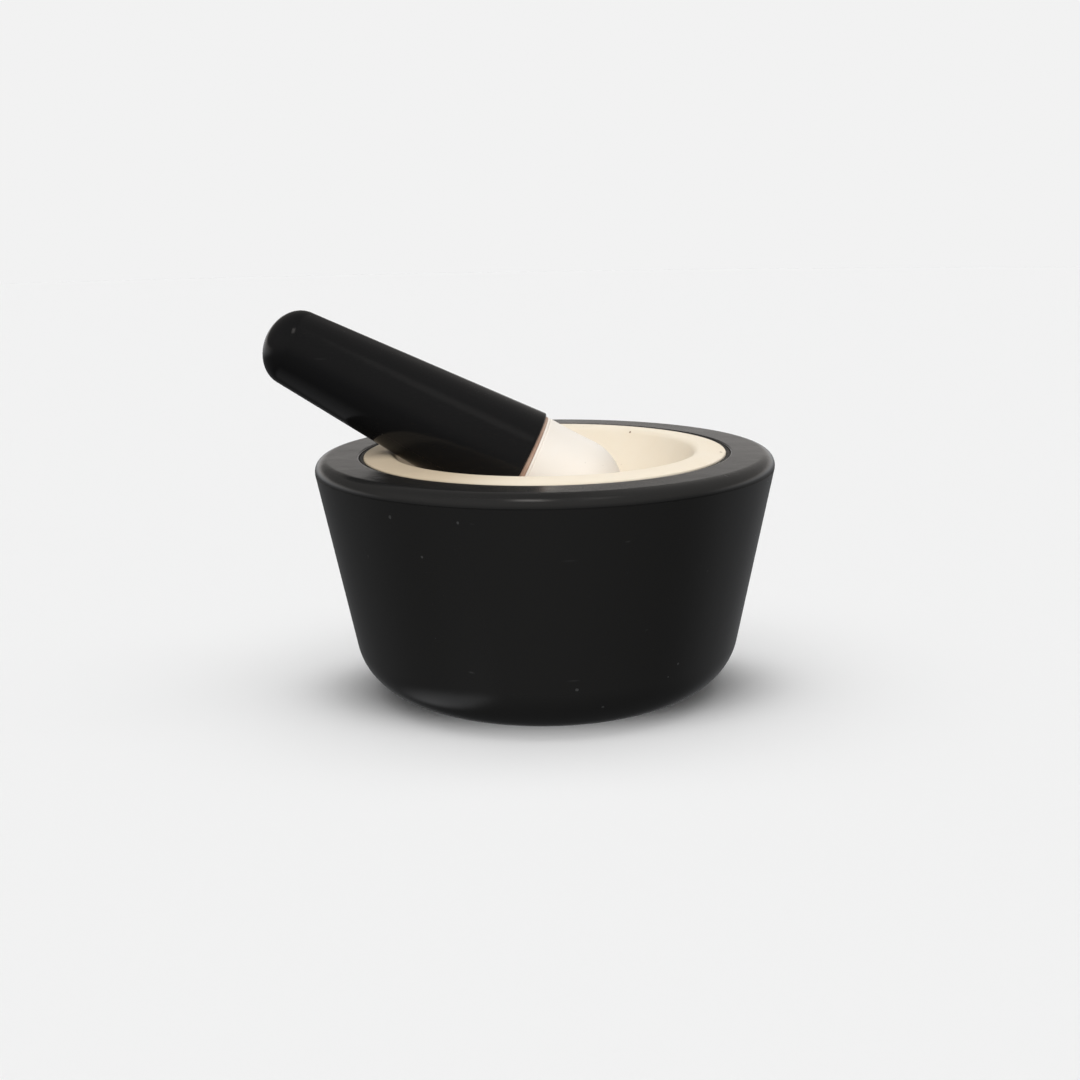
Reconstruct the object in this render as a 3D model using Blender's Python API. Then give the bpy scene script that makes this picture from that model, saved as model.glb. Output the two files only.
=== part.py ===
"""Mortar with a fitted grinding bowl, and its two-piece pestle resting in it.

Run with: blender --background --python part.py
Units are metres and +Z is up. The origin is the centre of the mortar's footprint, on the surface it
stands on. The mortar's axis is Z. The pestle rests in the bowl and leans on its lip towards -X.
"""

import math

import bmesh
import bpy
from mathutils import Euler, Matrix, Vector

MM = 0.001
GAP = 0.3 * MM  # left between faces that touch on the real object

# Mortar body
RIM_RADIUS = 75.0 * MM
RIM_HEIGHT = 78.5 * MM
RIM_ROLL = 3.95 * MM  # rounding of the outer rim edge
RIM_GROOVE_START = 0.0  # degrees below the roll's widest point
RIM_GROOVE_DEPTH = 0.3 * MM
RIM_GROOVE_HEIGHT = 0.5 * MM
RIM_INNER_ROUND = 0.5 * MM
WALL_DRAFT = 10.7  # degrees the wall leans out from vertical
FOOT_LIFT = 0.4 * MM  # the body stands this far off the surface, on its pad
FOOT_CORNER = 19.5 * MM
FOOT_RADIUS = 44.9 * MM

# Non-slip pad, let into the underside
PAD_RADIUS = 40.0 * MM
PAD_THICKNESS = 2.0 * MM
PAD_EDGE = 0.5 * MM

# Grinding bowl: a spherical hollow, and a broad lip that slopes gently out to the rim
BOWL_BOTTOM = 46.6 * MM
LINER_WALL = 5.5 * MM
LINER_COLLAR_RADIUS = 59.3 * MM
LINER_SEAT_HEIGHT = 71.7 * MM
LIP_CREST = 79.35 * MM
LIP_CREST_RADIUS = 51.5 * MM
LIP_INNER_ROLL = 3.0 * MM
LIP_OUTER_SLOPE = 12.0  # degrees at the lip's outer edge
LIP_CORNER = 0.6 * MM
ROLL_HEIGHT = LIP_CREST - LIP_INNER_ROLL  # of the inner roll's centre
ROLL_RISE = ROLL_HEIGHT - BOWL_BOTTOM
BOWL_RADIUS = (LIP_CREST_RADIUS**2 + ROLL_RISE**2 - LIP_INNER_ROLL**2) / (
    2 * (ROLL_RISE + LIP_INNER_ROLL)
)  # so that the hollow runs smoothly into the inner roll
BOWL_CENTRE = BOWL_BOTTOM + BOWL_RADIUS

# What lies between the bowl and the body
SEAL_WIDTH = 0.9 * MM
SEAL_TOP = 78.15 * MM
BED_THICKNESS = 1.4 * MM
BED_SPAN = 50.0  # degrees from straight down to the bed's edge

# Pestle, in its own frame: origin at the centre of its round nose, +Z along the handle to the butt
PESTLE_CENTRE = Vector((7.96, -2.91, 65.82)) * MM
PESTLE_SLOPE = 28.55  # degrees above the horizontal
NOSE_RADIUS = 17.75 * MM
HEAD_WAIST = 0.15 * MM
HEAD_SHOULDER = 0.9 * MM
JOINT_PLANE = 18.1 * MM  # where the handle starts
JOINT_RING_THICKNESS = 1.1 * MM
JOINT_RING_RADIUS = 17.7 * MM
HANDLE_LENGTH = 91.9 * MM
HANDLE_WIDE_RADIUS = 18.6 * MM
HANDLE_NARROW_RADIUS = 12.5 * MM
HANDLE_END_ROUND = 0.6 * MM
BUTT_DEPTH = 9.9 * MM
STUD_RADIUS = 4.0 * MM
STUD_IN_HEAD = 14.0 * MM
STUD_IN_HANDLE = 22.0 * MM
STUD_CHAMFER = 0.6 * MM

MORTAR_SIDES = 64
PESTLE_SIDES = 40
STUD_SIDES = 20
MERGE_DISTANCE = 0.01 * MM
SHARP_ANGLE = 30.0  # degrees between faces above which an edge is shaded sharp

# Linear colour, roughness and metallic of each finish
FINISHES = {
    "black_glaze": ((0.013, 0.013, 0.0125), 0.38, 0.0),
    "gloss_black_glaze": ((0.009, 0.009, 0.009), 0.16, 0.0),
    "cream_bisque": ((0.82, 0.74, 0.60), 0.62, 0.0),
    "dark_sealant": ((0.018, 0.017, 0.016), 0.55, 0.0),
    "bedding_cement": ((0.42, 0.41, 0.39), 0.9, 0.0),
    "pad_rubber": ((0.03, 0.03, 0.03), 0.85, 0.0),
    "joint_cement": ((0.42, 0.29, 0.21), 0.8, 0.0),
    "stud_steel": ((0.56, 0.55, 0.54), 0.35, 1.0),
}


def clear_scene():
    """Remove every object of the open file."""
    for item in list(bpy.data.objects):
        bpy.data.objects.remove(item)


def finish_material(name):
    """A Principled material from the table of finishes, made once."""
    if name in bpy.data.materials:
        return bpy.data.materials[name]
    colour, roughness, metallic = FINISHES[name]
    material = bpy.data.materials.new(name)
    material.use_nodes = True
    shader = material.node_tree.nodes["Principled BSDF"]
    shader.inputs["Base Color"].default_value = (*colour, 1.0)
    shader.inputs["Roughness"].default_value = roughness
    shader.inputs["Metallic"].default_value = metallic
    return material


def arc(centre, radii, start, end, steps):
    """Points (r, z) along an ellipse arc, angles in degrees from +r towards +z."""
    points = []
    for i in range(steps + 1):
        angle = math.radians(start + (end - start) * i / steps)
        points.append(
            (centre[0] + radii[0] * math.cos(angle), centre[1] + radii[1] * math.sin(angle))
        )
    return points


def round_arc(centre, radius, start, end, steps):
    """Points (r, z) along a circle's arc."""
    return arc(centre, (radius, radius), start, end, steps)


def bowl_arc(radius, start, end, steps):
    """Points on a sphere about the bowl's centre, angles in degrees from straight down."""
    return round_arc((0.0, BOWL_CENTRE), radius, start - 90.0, end - 90.0, steps)


def bowl_angle(radius, height):
    """Angle from straight down at which a sphere about the bowl's centre reaches a height."""
    return math.degrees(math.acos((BOWL_CENTRE - height) / radius))


def turned(name, outline, sides, finish, parent=None):
    """Turn an outline of (r, z) points about Z. It is a loop, or it starts and ends on the axis."""
    on_axis = outline[0][0] < GAP / 2 and outline[-1][0] < GAP / 2
    shape = bmesh.new()
    verts = [shape.verts.new((max(r, 0.0), 0.0, z)) for r, z in outline]
    edges = [shape.edges.new(pair) for pair in zip(verts, verts[1:])]
    if not on_axis:
        edges.append(shape.edges.new((verts[-1], verts[0])))
    bmesh.ops.spin(
        shape,
        geom=verts + edges,
        cent=(0.0, 0.0, 0.0),
        axis=(0.0, 0.0, 1.0),
        angle=math.tau,
        steps=sides,
        use_merge=True,
    )
    bmesh.ops.remove_doubles(shape, verts=shape.verts, dist=MERGE_DISTANCE)
    bmesh.ops.recalc_face_normals(shape, faces=shape.faces)
    mesh = bpy.data.meshes.new(name)
    shape.to_mesh(mesh)
    shape.free()
    mesh.shade_smooth()
    mesh.set_sharp_from_angle(angle=math.radians(SHARP_ANGLE))
    mesh.materials.append(finish_material(finish))
    item = bpy.data.objects.new(name, mesh)
    bpy.context.scene.collection.objects.link(item)
    item.parent = parent
    return item


def mortar_body():
    """The black body: a drafted wall with a rolled rim, seated bowl hollow and flat foot."""
    recess_roof = PAD_THICKNESS + GAP
    recess_radius = PAD_RADIUS + GAP
    bore = LINER_COLLAR_RADIUS + GAP + SEAL_WIDTH + GAP
    ledge = LINER_SEAT_HEIGHT - GAP
    hollow = BOWL_RADIUS + LINER_WALL + GAP + BED_THICKNESS + GAP
    roll_centre = (RIM_RADIUS - RIM_ROLL, RIM_HEIGHT - RIM_ROLL)
    roll = round_arc(roll_centre, RIM_ROLL, -RIM_GROOVE_START, 90.0, 5)
    foot_centre = (FOOT_RADIUS, FOOT_LIFT + FOOT_CORNER)
    foot = round_arc(foot_centre, FOOT_CORNER, -90.0, -WALL_DRAFT, 6)
    wall_top = roll[0][1] - RIM_GROOVE_HEIGHT
    wall_radius = foot[-1][0] + (wall_top - foot[-1][1]) * math.tan(math.radians(WALL_DRAFT))
    groove = (roll[0][0] - RIM_GROOVE_DEPTH, roll[0][1] - RIM_GROOVE_HEIGHT / 2)
    inner_centre = (bore + RIM_INNER_ROUND, RIM_HEIGHT - RIM_INNER_ROUND)
    outline = [(0.0, recess_roof), (recess_radius, recess_roof), (recess_radius, FOOT_LIFT)]
    outline += foot
    outline += [(wall_radius, wall_top), groove]
    outline += roll
    outline += round_arc(inner_centre, RIM_INNER_ROUND, 90.0, 180.0, 2)
    outline.append((bore, ledge))
    outline += bowl_arc(hollow, bowl_angle(hollow, ledge), 0.0, 8)
    return turned("mortar_body", outline, MORTAR_SIDES, "black_glaze")


def foot_pad():
    """The non-slip disc that the mortar stands on."""
    outline = [
        (0.0, 0.0),
        (PAD_RADIUS - PAD_EDGE, 0.0),
        (PAD_RADIUS, PAD_EDGE),
        (PAD_RADIUS, PAD_THICKNESS),
        (0.0, PAD_THICKNESS),
    ]
    return turned("foot_pad", outline, MORTAR_SIDES, "pad_rubber")


def bowl_liner():
    """The cream grinding bowl, with a collar that sits on the body's ledge and a broad lip."""
    outside = BOWL_RADIUS + LINER_WALL
    tangent = math.degrees(math.asin(LIP_CREST_RADIUS / (BOWL_RADIUS + LIP_INNER_ROLL)))
    corner_radius = LINER_COLLAR_RADIUS - LIP_CORNER
    slope = math.radians(LIP_OUTER_SLOPE)
    crown = (corner_radius + LIP_CORNER * math.sin(slope) - LIP_CREST_RADIUS) / math.sin(slope)
    lip_edge = LIP_CREST - crown * (1 - math.cos(slope))
    corner_centre = (corner_radius, lip_edge - LIP_CORNER * math.cos(slope))
    crown_centre = (LIP_CREST_RADIUS, LIP_CREST - crown)
    roll_centre = (LIP_CREST_RADIUS, ROLL_HEIGHT)
    outline = bowl_arc(outside, 0.0, bowl_angle(outside, LINER_SEAT_HEIGHT), 7)
    outline.append((LINER_COLLAR_RADIUS, LINER_SEAT_HEIGHT))
    outline += round_arc(corner_centre, LIP_CORNER, 0.0, 90.0 - LIP_OUTER_SLOPE, 2)
    outline += round_arc(crown_centre, crown, 90.0 - LIP_OUTER_SLOPE, 90.0, 3)[1:]
    outline += round_arc(roll_centre, LIP_INNER_ROLL, 90.0, 90.0 + tangent, 3)[1:]
    outline += bowl_arc(BOWL_RADIUS, tangent, 0.0, 10)[1:]
    return turned("bowl_liner", outline, MORTAR_SIDES, "cream_bisque")


def liner_seal():
    """The dark bead that fills the seam between the bowl's collar and the body."""
    inner = LINER_COLLAR_RADIUS + GAP
    half = SEAL_WIDTH / 2
    outline = [(inner, LINER_SEAT_HEIGHT), (inner + SEAL_WIDTH, LINER_SEAT_HEIGHT)]
    outline += round_arc((inner + half, SEAL_TOP - half), half, 0.0, 180.0, 4)
    return turned("liner_seal", outline, MORTAR_SIDES, "dark_sealant")


def liner_bed():
    """The layer of bedding under the bowl, which carries the pounding."""
    inside = BOWL_RADIUS + LINER_WALL + GAP
    outline = bowl_arc(inside + BED_THICKNESS, 0.0, BED_SPAN, 7)
    outline += bowl_arc(inside, BED_SPAN, 0.0, 7)
    return turned("liner_bed", outline, MORTAR_SIDES, "bedding_cement")


def pestle_seat():
    """The empty that carries the pestle: at its nose centre, +Z along the handle."""
    seat = bpy.data.objects.new("pestle_seat", None)
    tilt = Euler((0.0, math.radians(PESTLE_SLOPE - 90.0), 0.0)).to_matrix().to_4x4()
    seat.matrix_world = Matrix.Translation(PESTLE_CENTRE) @ tilt
    seat.empty_display_size = NOSE_RADIUS
    bpy.context.scene.collection.objects.link(seat)
    return seat


def pestle_head(seat):
    """The cream grinding head: a round nose, a faint waist, and a socket for the stud."""
    top = JOINT_PLANE - JOINT_RING_THICKNESS - 2 * GAP
    socket = STUD_RADIUS + GAP
    shoulder = (NOSE_RADIUS - HEAD_SHOULDER, top - HEAD_SHOULDER)
    outline = round_arc((0.0, 0.0), NOSE_RADIUS, -90.0, 0.0, 7)
    outline.append((NOSE_RADIUS - HEAD_WAIST, top / 2))
    outline += round_arc(shoulder, HEAD_SHOULDER, 0.0, 90.0, 2)
    outline += [(socket, top), (socket, top - STUD_IN_HEAD), (0.0, top - STUD_IN_HEAD)]
    return turned("pestle_head", outline, PESTLE_SIDES, "cream_bisque", seat)


def pestle_joint_ring(seat):
    """The brown ring of cement that shows between head and handle."""
    low = JOINT_PLANE - GAP - JOINT_RING_THICKNESS
    half = JOINT_RING_THICKNESS / 2
    hole = STUD_RADIUS + GAP
    outline = [(hole, low)]
    outline += round_arc((JOINT_RING_RADIUS - half, low + half), half, -90.0, 90.0, 4)
    outline.append((hole, low + JOINT_RING_THICKNESS))
    return turned("pestle_joint_ring", outline, PESTLE_SIDES, "joint_cement", seat)


def pestle_handle(seat):
    """The black handle: it tapers to a domed butt and is bored for the stud."""
    socket = STUD_RADIUS + GAP
    butt = JOINT_PLANE + HANDLE_LENGTH - BUTT_DEPTH
    bore_end = JOINT_PLANE + STUD_IN_HANDLE
    edge_centre = (HANDLE_WIDE_RADIUS - HANDLE_END_ROUND, JOINT_PLANE + HANDLE_END_ROUND)
    outline = [(0.0, bore_end), (socket, bore_end), (socket, JOINT_PLANE)]
    outline += round_arc(edge_centre, HANDLE_END_ROUND, -90.0, 0.0, 2)
    outline += arc((0.0, butt), (HANDLE_NARROW_RADIUS, BUTT_DEPTH), 0.0, 90.0, 7)
    return turned("pestle_handle", outline, PESTLE_SIDES, "gloss_black_glaze", seat)


def pestle_stud(seat):
    """The steel stud that joins head and handle."""
    low = JOINT_PLANE - JOINT_RING_THICKNESS - GAP - STUD_IN_HEAD
    high = JOINT_PLANE + STUD_IN_HANDLE - GAP
    neck = STUD_RADIUS - STUD_CHAMFER
    outline = [
        (0.0, low),
        (neck, low),
        (STUD_RADIUS, low + STUD_CHAMFER),
        (STUD_RADIUS, high - STUD_CHAMFER),
        (neck, high),
        (0.0, high),
    ]
    return turned("pestle_stud", outline, STUD_SIDES, "stud_steel", seat)


def main():
    """Build the mortar, then the pestle on its seat."""
    clear_scene()
    for make in (mortar_body, foot_pad, bowl_liner, liner_seal, liner_bed):
        make()
    seat = pestle_seat()
    for make in (pestle_head, pestle_joint_ring, pestle_handle, pestle_stud):
        make(seat)
    bpy.context.view_layer.update()


main()
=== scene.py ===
"""Finished look of a two-tone mortar and its pestle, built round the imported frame.

Every size is in metres. Each visible piece is turned on a lathe drawn with bmesh operators, stands for
its plain CAD node, and wears a procedural finish. The pestle's pieces are turned about their own axis
and then laid in the bowl.
"""

import logging
import math
from collections.abc import Callable, Iterable
from dataclasses import dataclass, field
from enum import Enum

import bmesh
import bpy
from mathutils import Euler, Matrix, Vector


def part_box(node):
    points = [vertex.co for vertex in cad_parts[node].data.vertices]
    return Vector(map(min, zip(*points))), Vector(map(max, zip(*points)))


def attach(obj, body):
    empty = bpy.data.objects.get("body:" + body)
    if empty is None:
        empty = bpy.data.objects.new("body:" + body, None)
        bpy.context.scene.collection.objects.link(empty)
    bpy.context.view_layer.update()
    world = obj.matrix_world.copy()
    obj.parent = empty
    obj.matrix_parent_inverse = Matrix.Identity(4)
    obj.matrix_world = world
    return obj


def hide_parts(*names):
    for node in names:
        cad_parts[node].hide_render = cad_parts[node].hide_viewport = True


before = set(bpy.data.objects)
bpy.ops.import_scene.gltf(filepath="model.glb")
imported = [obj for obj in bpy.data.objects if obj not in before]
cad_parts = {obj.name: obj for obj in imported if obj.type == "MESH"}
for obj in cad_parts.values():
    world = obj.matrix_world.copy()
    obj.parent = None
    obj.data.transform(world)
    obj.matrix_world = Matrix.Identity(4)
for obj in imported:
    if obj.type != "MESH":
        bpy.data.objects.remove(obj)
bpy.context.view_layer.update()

MM = 0.001
LOG = logging.getLogger("mortar")
NOISE_RANGE = (0.3, 0.7)  # where nearly all of a noise's values lie

Colour = tuple[float, float, float]
Value = float | tuple[float, ...] | bpy.types.NodeSocket


class Body(Enum):
    """The bodies of the frame that pieces ride on."""

    MORTAR = "mortar"
    PESTLE = "pestle"


class Slot(Enum):
    """The record's material slots."""

    BODY_GLAZE = "body_glaze"
    HANDLE_GLAZE = "handle_glaze"
    CREAM_BISQUE = "cream_bisque"
    SEALANT = "dark_sealant"
    BEDDING = "bedding_cement"
    JOINT_CEMENT = "joint_cement"
    PAD_RUBBER = "pad_rubber"
    STEEL = "stud_steel"


# ---------------------------------------------------------------------------------------------------
# Node trees
# ---------------------------------------------------------------------------------------------------


class Graph:
    """A node tree that is being wired."""

    def __init__(self, tree: bpy.types.NodeTree) -> None:
        """Start on an existing tree.

        Args:
            tree: The tree that new nodes go into.
        """
        self.tree = tree

    def feed(self, socket: bpy.types.NodeSocket, value: Value) -> None:
        """Link a socket to another one, or set its own value.

        Args:
            socket: The input to feed.
            value: An output socket, or a constant.
        """
        if isinstance(value, bpy.types.NodeSocket):
            self.tree.links.new(value, socket)
        elif isinstance(value, tuple) and len(value) == 3 and socket.type == "RGBA":
            socket.default_value = (*value, 1.0)
        else:
            socket.default_value = value

    def add(
        self,
        kind: str,
        inputs: dict[str | int, Value] | None = None,
        **settings: object,
    ) -> bpy.types.Node:
        """Add a node.

        Args:
            kind: The node's type.
            inputs: Input name or index to the value or socket that feeds it.
            **settings: The node's own properties.

        Returns:
            The new node.
        """
        node = self.tree.nodes.new(kind)
        for name, value in settings.items():
            setattr(node, name, value)
        for name, value in (inputs or {}).items():
            self.feed(node.inputs[name], value)
        return node

    def math(self, operation: str, *values: Value, clamp: bool = False) -> bpy.types.NodeSocket:
        """Combine numbers.

        Args:
            operation: The Math node's operation.
            *values: Its inputs, in order.
            clamp: Whether the result is kept between 0 and 1.

        Returns:
            The result's socket.
        """
        node = self.add("ShaderNodeMath", dict(enumerate(values)), operation=operation, use_clamp=clamp)
        return node.outputs[0]

    def span(
        self,
        value: Value,
        low: float,
        high: float,
        start: Value,
        end: Value,
        smooth: bool = True,
    ) -> bpy.types.NodeSocket:
        """Carry a number from one range to another.

        Args:
            value: The number.
            low: Where the source range begins.
            high: Where it ends. It may be less than low.
            start: The result at low.
            end: The result at high.
            smooth: Whether the ends of the range are eased.

        Returns:
            The result's socket.
        """
        node = self.add(
            "ShaderNodeMapRange",
            {"Value": value, "From Min": low, "From Max": high, "To Min": start, "To Max": end},
            interpolation_type="SMOOTHSTEP" if smooth else "LINEAR",
            clamp=True,
        )
        return node.outputs["Result"]

    def blend(self, share: Value, first: Value, second: Value) -> bpy.types.NodeSocket:
        """Mix two colours.

        Args:
            share: How much of the second shows.
            first: A colour.
            second: Another colour.

        Returns:
            The mixed colour's socket.
        """
        node = self.add("ShaderNodeMix", data_type="RGBA")
        colour_inputs = [s for s in node.inputs if s.type == "RGBA"]
        self.feed(node.inputs["Factor"], share)
        self.feed(colour_inputs[0], first)
        self.feed(colour_inputs[1], second)
        return next(s for s in node.outputs if s.type == "RGBA")

    def noise(
        self,
        vector: Value,
        scale: Value,
        detail: float = 3.0,
        roughness: float = 0.5,
    ) -> bpy.types.NodeSocket:
        """Cloudy noise from 0 to 1, about 0.5.

        Args:
            vector: The coordinates.
            scale: Features per metre.
            detail: How many finer layers are added.
            roughness: The strength of the finer layers.

        Returns:
            The noise value's socket.
        """
        node = self.add(
            "ShaderNodeTexNoise",
            {"Vector": vector, "Scale": scale, "Detail": detail, "Roughness": roughness},
        )
        return node.outputs["Fac"]


class Effect:
    """A shared surface effect: a shader node group, built the first time it is used."""

    def __init__(
        self,
        name: str,
        inputs: dict[str, tuple[str, float | None]],
        outputs: Iterable[str],
        wire: Callable[[Graph, bpy.types.Node], dict[str, bpy.types.NodeSocket]],
    ) -> None:
        """Describe the group.

        Args:
            name: The group's name.
            inputs: Socket name to its kind ("Vector" or "Float") and default.
            outputs: The names of its number outputs.
            wire: Wires the inside and gives each output's socket.
        """
        self.name = name
        self.inputs = inputs
        self.outputs = list(outputs)
        self.wire = wire

    def tree(self) -> bpy.types.NodeTree:
        """The node group, made once."""
        made = bpy.data.node_groups.get(self.name)
        if made is not None:
            return made
        made = bpy.data.node_groups.new(self.name, "ShaderNodeTree")
        for socket_name, (kind, default) in self.inputs.items():
            socket = made.interface.new_socket(socket_name, in_out="INPUT", socket_type=f"NodeSocket{kind}")
            if default is not None:
                socket.default_value = default
        for socket_name in self.outputs:
            made.interface.new_socket(socket_name, in_out="OUTPUT", socket_type="NodeSocketFloat")
        graph = Graph(made)
        entry = graph.add("NodeGroupInput")
        leave = graph.add("NodeGroupOutput")
        for socket_name, socket in self.wire(graph, entry).items():
            graph.feed(leave.inputs[socket_name], socket)
        return made

    def use(self, graph: Graph, **inputs: Value) -> bpy.types.Node:
        """Place the effect in a material.

        Args:
            graph: The material's graph.
            **inputs: Input names, with spaces as underscores, to their values.

        Returns:
            The group node.
        """
        node = graph.add("ShaderNodeGroup", node_tree=self.tree())
        for socket_name, value in inputs.items():
            graph.feed(node.inputs[socket_name.replace("_", " ")], value)
        return node


def wire_speckle(graph: Graph, entry: bpy.types.Node) -> dict[str, bpy.types.NodeSocket]:
    """Sparse round specks, each in its own cell.

    Args:
        graph: The group's graph.
        entry: Its input node.

    Returns:
        The Mask output.
    """
    cells = graph.add(
        "ShaderNodeTexVoronoi",
        {"Vector": entry.outputs["Vector"], "Scale": entry.outputs["Scale"], "Randomness": 1.0},
    )
    lot = graph.add("ShaderNodeSeparateColor", {0: cells.outputs["Color"]})
    chosen = graph.math("LESS_THAN", lot.outputs[0], entry.outputs["Density"])
    size = graph.math("MULTIPLY", entry.outputs["Size"], graph.span(lot.outputs[1], 0.0, 1.0, 0.45, 1.0))
    inside = graph.math("SUBTRACT", 1.0, graph.math("DIVIDE", cells.outputs["Distance"], size), clamp=True)
    edge = graph.math("MULTIPLY", inside, 3.0, clamp=True)
    return {"Mask": graph.math("MULTIPLY", edge, chosen)}


def wire_mottle(graph: Graph, entry: bpy.types.Node) -> dict[str, bpy.types.NodeSocket]:
    """Soft uneven patches at two sizes.

    Args:
        graph: The group's graph.
        entry: Its input node.

    Returns:
        The Value output, from 0 to 1.
    """
    broad = graph.noise(entry.outputs["Vector"], entry.outputs["Scale"], detail=2.0)
    fine_scale = graph.math("MULTIPLY", entry.outputs["Scale"], 5.3)
    fine = graph.noise(entry.outputs["Vector"], fine_scale, detail=3.0, roughness=0.6)
    both = graph.math("ADD", graph.math("MULTIPLY", broad, 0.7), graph.math("MULTIPLY", fine, 0.3))
    spread = graph.math("MULTIPLY", graph.math("SUBTRACT", both, 0.5), entry.outputs["Contrast"])
    return {"Value": graph.math("ADD", spread, 0.5, clamp=True)}


def wire_scratches(graph: Graph, entry: bpy.types.Node) -> dict[str, bpy.types.NodeSocket]:
    """Short hairline scratches that run one way.

    Args:
        graph: The group's graph.
        entry: Its input node.

    Returns:
        The Mask output.
    """
    turned = graph.add(
        "ShaderNodeMapping",
        {"Vector": entry.outputs["Vector"], "Rotation": (0.5, 0.35, 0.9), "Scale": (1.0, 9.0, 9.0)},
    )
    lines = graph.add(
        "ShaderNodeTexVoronoi",
        {"Vector": turned.outputs[0], "Scale": entry.outputs["Scale"], "Randomness": 1.0},
        feature="F1",
    )
    lot = graph.add("ShaderNodeSeparateColor", {0: lines.outputs["Color"]})
    chosen = graph.math("LESS_THAN", lot.outputs[2], entry.outputs["Density"])
    body = graph.math("SUBTRACT", 1.0, graph.math("DIVIDE", lines.outputs["Distance"], 0.22), clamp=True)
    return {"Mask": graph.math("MULTIPLY", body, chosen)}


def wire_spot(graph: Graph, entry: bpy.types.Node) -> dict[str, bpy.types.NodeSocket]:
    """One small mark about a place, with a ragged edge.

    Args:
        graph: The group's graph.
        entry: Its input node.

    Returns:
        The Mask output.
    """
    away = graph.add(
        "ShaderNodeVectorMath",
        {0: entry.outputs["Vector"], 1: entry.outputs["Place"]},
        operation="DISTANCE",
    )
    ragged = graph.span(graph.noise(entry.outputs["Vector"], 1100.0), *NOISE_RANGE, 0.75, 1.3)
    share = graph.math("DIVIDE", away.outputs["Value"], entry.outputs["Size"])
    near = graph.math("SUBTRACT", 1.0, graph.math("MULTIPLY", share, ragged), clamp=True)
    return {"Mask": graph.math("MULTIPLY", near, 2.5, clamp=True)}


SPECKLE = Effect(
    "speckle",
    {
        "Vector": ("Vector", None),
        "Scale": ("Float", 400.0),
        "Size": ("Float", 0.2),
        "Density": ("Float", 0.1),
    },
    ["Mask"],
    wire_speckle,
)
MOTTLE = Effect(
    "mottle",
    {"Vector": ("Vector", None), "Scale": ("Float", 60.0), "Contrast": ("Float", 2.0)},
    ["Value"],
    wire_mottle,
)
SCRATCHES = Effect(
    "hairline_scratches",
    {"Vector": ("Vector", None), "Scale": ("Float", 60.0), "Density": ("Float", 0.05)},
    ["Mask"],
    wire_scratches,
)
SPOT = Effect(
    "spot",
    {"Vector": ("Vector", None), "Place": ("Vector", None), "Size": ("Float", 0.001)},
    ["Mask"],
    wire_spot,
)


@dataclass(frozen=True)
class Mark:
    """A small mark on a surface, placed about the mortar's axis."""

    azimuth: float
    radius: float
    height: float
    size: float

    def place(self) -> tuple[float, float, float]:
        """Where it is."""
        turn = math.radians(self.azimuth)
        return (self.radius * math.cos(turn), self.radius * math.sin(turn), self.height)


def marked(graph: Graph, place: bpy.types.NodeSocket, mask: Value, marks: tuple[Mark, ...]) -> Value:
    """Add single marks to a mask.

    Args:
        graph: The material's graph.
        place: Object coordinates.
        mask: The mask so far.
        marks: The marks to add.

    Returns:
        The mask with them.
    """
    for mark in marks:
        spot = SPOT.use(graph, Vector=place, Place=mark.place(), Size=mark.size)
        mask = graph.math("MAXIMUM", mask, spot.outputs[0])
    return mask


# ---------------------------------------------------------------------------------------------------
# Finishes
# ---------------------------------------------------------------------------------------------------


class Finish:
    """A procedural material: what every finish shares."""

    name: str
    slot: Slot

    def wire(self, graph: Graph, shader: bpy.types.Node, place: bpy.types.NodeSocket) -> None:
        """Wire the finish into the shader.

        Args:
            graph: The material's graph.
            shader: Its Principled node.
            place: Object coordinates.
        """
        raise NotImplementedError

    def material(self) -> bpy.types.Material:
        """The finish's material, made once."""
        made = bpy.data.materials.get(self.name)
        if made is not None:
            return made
        made = bpy.data.materials.new(self.name)
        made.use_nodes = True
        graph = Graph(made.node_tree)
        shader = made.node_tree.nodes["Principled BSDF"]
        place = graph.add("ShaderNodeTexCoord").outputs["Object"]
        self.wire(graph, shader, place)
        return made

    def dress(self, piece: bpy.types.Object) -> None:
        """Put the finish on a piece, in place of what it wears."""
        piece.data.materials.clear()
        piece.data.materials.append(self.material())


def bump(graph: Graph, shader: bpy.types.Node, height: Value, depth: float) -> None:
    """Give a shader relief.

    Args:
        graph: The material's graph.
        shader: The Principled node.
        height: The relief, from 0 to 1.
        depth: How deep a full step of it is, in metres.
    """
    relief = graph.add("ShaderNodeBump", {"Height": height, "Distance": depth, "Strength": 1.0})
    graph.feed(shader.inputs["Normal"], relief.outputs[0])


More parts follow.
